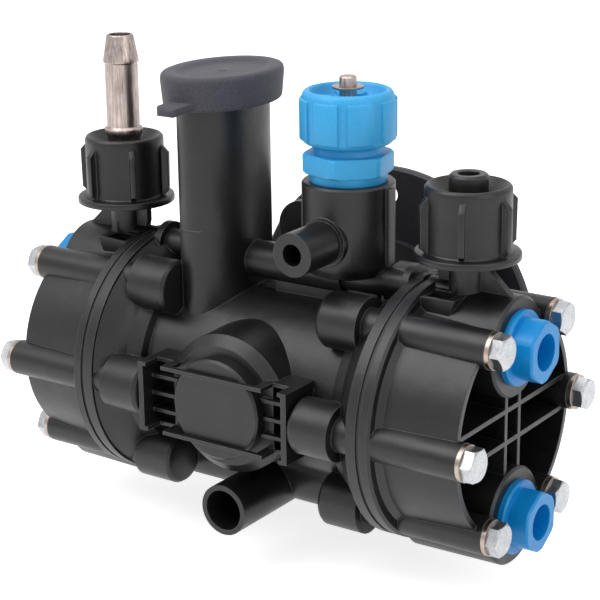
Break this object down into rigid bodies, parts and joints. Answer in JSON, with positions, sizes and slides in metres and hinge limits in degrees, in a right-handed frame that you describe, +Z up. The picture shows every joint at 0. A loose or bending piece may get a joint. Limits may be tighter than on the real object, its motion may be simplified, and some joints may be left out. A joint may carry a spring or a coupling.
{
  "type": "diaphragm pump",
  "caption": "Opposed twin diaphragm pump with a plastic crankcase, open-ended ribbed heads, blue valve plugs, an oval oil filler tube and a blue pressure regulator knob.",
  "frame": {"origin": "centre of the motor flange's bolt circle, on the face that meets the motor", "axes": "+Y from the pump towards the motor, along the crankshaft; +X towards the head with the plain outlet stub; +Z up, along the filler tube"},
  "size_m": [0.198, 0.1167, 0.1727],
  "materials": {
    "black_moulding": "fine-grained glass-filled nylon",
    "black_flange": "black coated casting",
    "rubber": "soft moulded rubber",
    "seal_rubber": "smooth seal rubber",
    "diaphragm_rubber": "fabric-reinforced rubber",
    "deep_blue": "satin moulded plastic",
    "sky_blue": "satin moulded plastic",
    "bolt_zinc": "zinc plated",
    "washer_steel": "warm plated steel",
    "nickel": "nickel plated, turned",
    "polished_steel": "ground stainless steel",
    "spring_steel": "drawn wire",
    "bearing_steel": "ground",
    "shaft_steel": "turned",
    "cast_aluminium": "as cast, machined faces",
    "acetal": "natural acetal"
  },
  "bodies": {
    "housing": {"crankcase": "black_moulding", "front_bearing_cap": "black_moulding", "front_bearing": "bearing_steel", "rear_bearing": "bearing_steel", "shaft_seal": "seal_rubber", "motor_flange": "black_flange", "flange_screws": "bolt_zinc", "plug_seals": "seal_rubber", "port_gaskets": "seal_rubber", "relief_seat": "acetal", "relief_spring": "spring_steel", "pressure_collar": "sky_blue", "collar_seal": "seal_rubber", "right_head": "black_moulding", "right_diaphragm": "diaphragm_rubber", "right_head_bolts": "bolt_zinc", "right_head_washers": "washer_steel", "right_delivery_valve_plug": "deep_blue", "right_delivery_valve_seat": "acetal", "right_delivery_valve_spring": "spring_steel", "right_suction_valve_plug": "deep_blue", "right_suction_valve_seat": "acetal", "right_suction_valve_spring": "spring_steel", "left_head": "black_moulding", "left_diaphragm": "diaphragm_rubber", "left_head_bolts": "bolt_zinc", "left_head_washers": "washer_steel", "left_delivery_valve_plug": "deep_blue", "left_delivery_valve_seat": "acetal", "left_delivery_valve_spring": "spring_steel", "left_suction_valve_plug": "deep_blue", "left_suction_valve_seat": "acetal", "left_suction_valve_spring": "spring_steel"},
    "crank": {"crankshaft": "shaft_steel", "eccentric_bearing": "bearing_steel"},
    "yoke": {"yoke": "cast_aluminium", "right_piston": "acetal", "right_outer_plate": "cast_aluminium", "right_piston_screw": "bolt_zinc", "left_piston": "acetal", "left_outer_plate": "cast_aluminium", "left_piston_screw": "bolt_zinc"},
    "spring_seat": {"spring_seat": "spring_steel"},
    "knob": {"pressure_knob": "sky_blue"},
    "stem": {"relief_stem": "polished_steel", "stem_clip": "polished_steel"},
    "oil_cap": {"oil_cap": "rubber"},
    "right_tail": {"outlet_stub": "black_moulding"},
    "left_tail": {"hose_barb": "nickel"},
    "right_nut": {"right_wing_nut": "black_moulding"},
    "left_nut": {"left_wing_nut": "black_moulding"},
    "right_delivery_valve": {"right_delivery_valve_disc": "acetal"},
    "right_suction_valve": {"right_suction_valve_disc": "acetal"},
    "left_delivery_valve": {"left_delivery_valve_disc": "acetal"},
    "left_suction_valve": {"left_suction_valve_disc": "acetal"}
  },
  "joints": [
    {"name": "crank_spin", "type": "hinge", "parent": "housing", "child": "crank", "pos_m": [0, -0.07, 0], "axis": [0, -1, 0], "continuous": true},
    {"name": "yoke_slide", "type": "slide", "parent": "housing", "child": "yoke", "axis": [1, 0, 0], "range_m": [-0.003, 0.003], "deforming": ["right_diaphragm", "left_diaphragm"]},
    {"name": "seat_slide", "type": "slide", "parent": "housing", "child": "spring_seat", "axis": [0, 0, 1], "range_m": [-0.00151, 0.00251], "deforming": ["relief_spring"]},
    {"name": "knob_turn", "type": "hinge", "parent": "spring_seat", "child": "knob", "pos_m": [0.0252, -0.07, 0.09], "axis": [0, 0, 1], "range_deg": [-270, 450]},
    {"name": "stem_lift", "type": "slide", "parent": "housing", "child": "stem", "axis": [0, 0, 1], "range_m": [0, 0.002], "stiffness_N_per_m": 800, "springref_m": -0.01, "deforming": ["relief_spring"]},
    {"name": "cap_lift", "type": "slide", "parent": "housing", "child": "oil_cap", "axis": [0, 0, 1], "range_m": [0, 0.03]},
    {"name": "right_tail_lift", "type": "slide", "parent": "housing", "child": "right_tail", "axis": [0, 0, 1], "range_m": [0, 0.0128]},
    {"name": "right_nut_turn", "type": "hinge", "parent": "right_tail", "child": "right_nut", "pos_m": [0.0703, -0.07, 0.064], "axis": [0, 0, 1], "range_deg": [0, 2520]},
    {"name": "right_delivery_valve_lift", "type": "slide", "parent": "housing", "child": "right_delivery_valve", "axis": [1, 0, 0], "range_m": [0, 0.002], "stiffness_N_per_m": 60, "springref_m": -0.003, "deforming": ["right_delivery_valve_spring"]},
    {"name": "right_suction_valve_lift", "type": "slide", "parent": "housing", "child": "right_suction_valve", "axis": [1, 0, 0], "range_m": [0, 0.002], "stiffness_N_per_m": 60, "springref_m": -0.003, "deforming": ["right_suction_valve_spring"]},
    {"name": "left_tail_lift", "type": "slide", "parent": "housing", "child": "left_tail", "axis": [0, 0, 1], "range_m": [0, 0.0128]},
    {"name": "left_nut_turn", "type": "hinge", "parent": "left_tail", "child": "left_nut", "pos_m": [-0.0703, -0.07, 0.064], "axis": [0, 0, 1], "range_deg": [0, 2520]},
    {"name": "left_delivery_valve_lift", "type": "slide", "parent": "housing", "child": "left_delivery_valve", "axis": [-1, 0, 0], "range_m": [0, 0.002], "stiffness_N_per_m": 60, "springref_m": -0.003, "deforming": ["left_delivery_valve_spring"]},
    {"name": "left_suction_valve_lift", "type": "slide", "parent": "housing", "child": "left_suction_valve", "axis": [-1, 0, 0], "range_m": [0, 0.002], "stiffness_N_per_m": 60, "springref_m": -0.003, "deforming": ["left_suction_valve_spring"]}
  ],
  "couplings": [
    {"joint": "seat_slide", "follows": "knob_turn", "m_per_rad": 0.00031831},
    {"joint": "right_tail_lift", "follows": "right_nut_turn", "m_per_rad": 0.00028871},
    {"joint": "left_tail_lift", "follows": "left_nut_turn", "m_per_rad": 0.00028871}
  ]
}
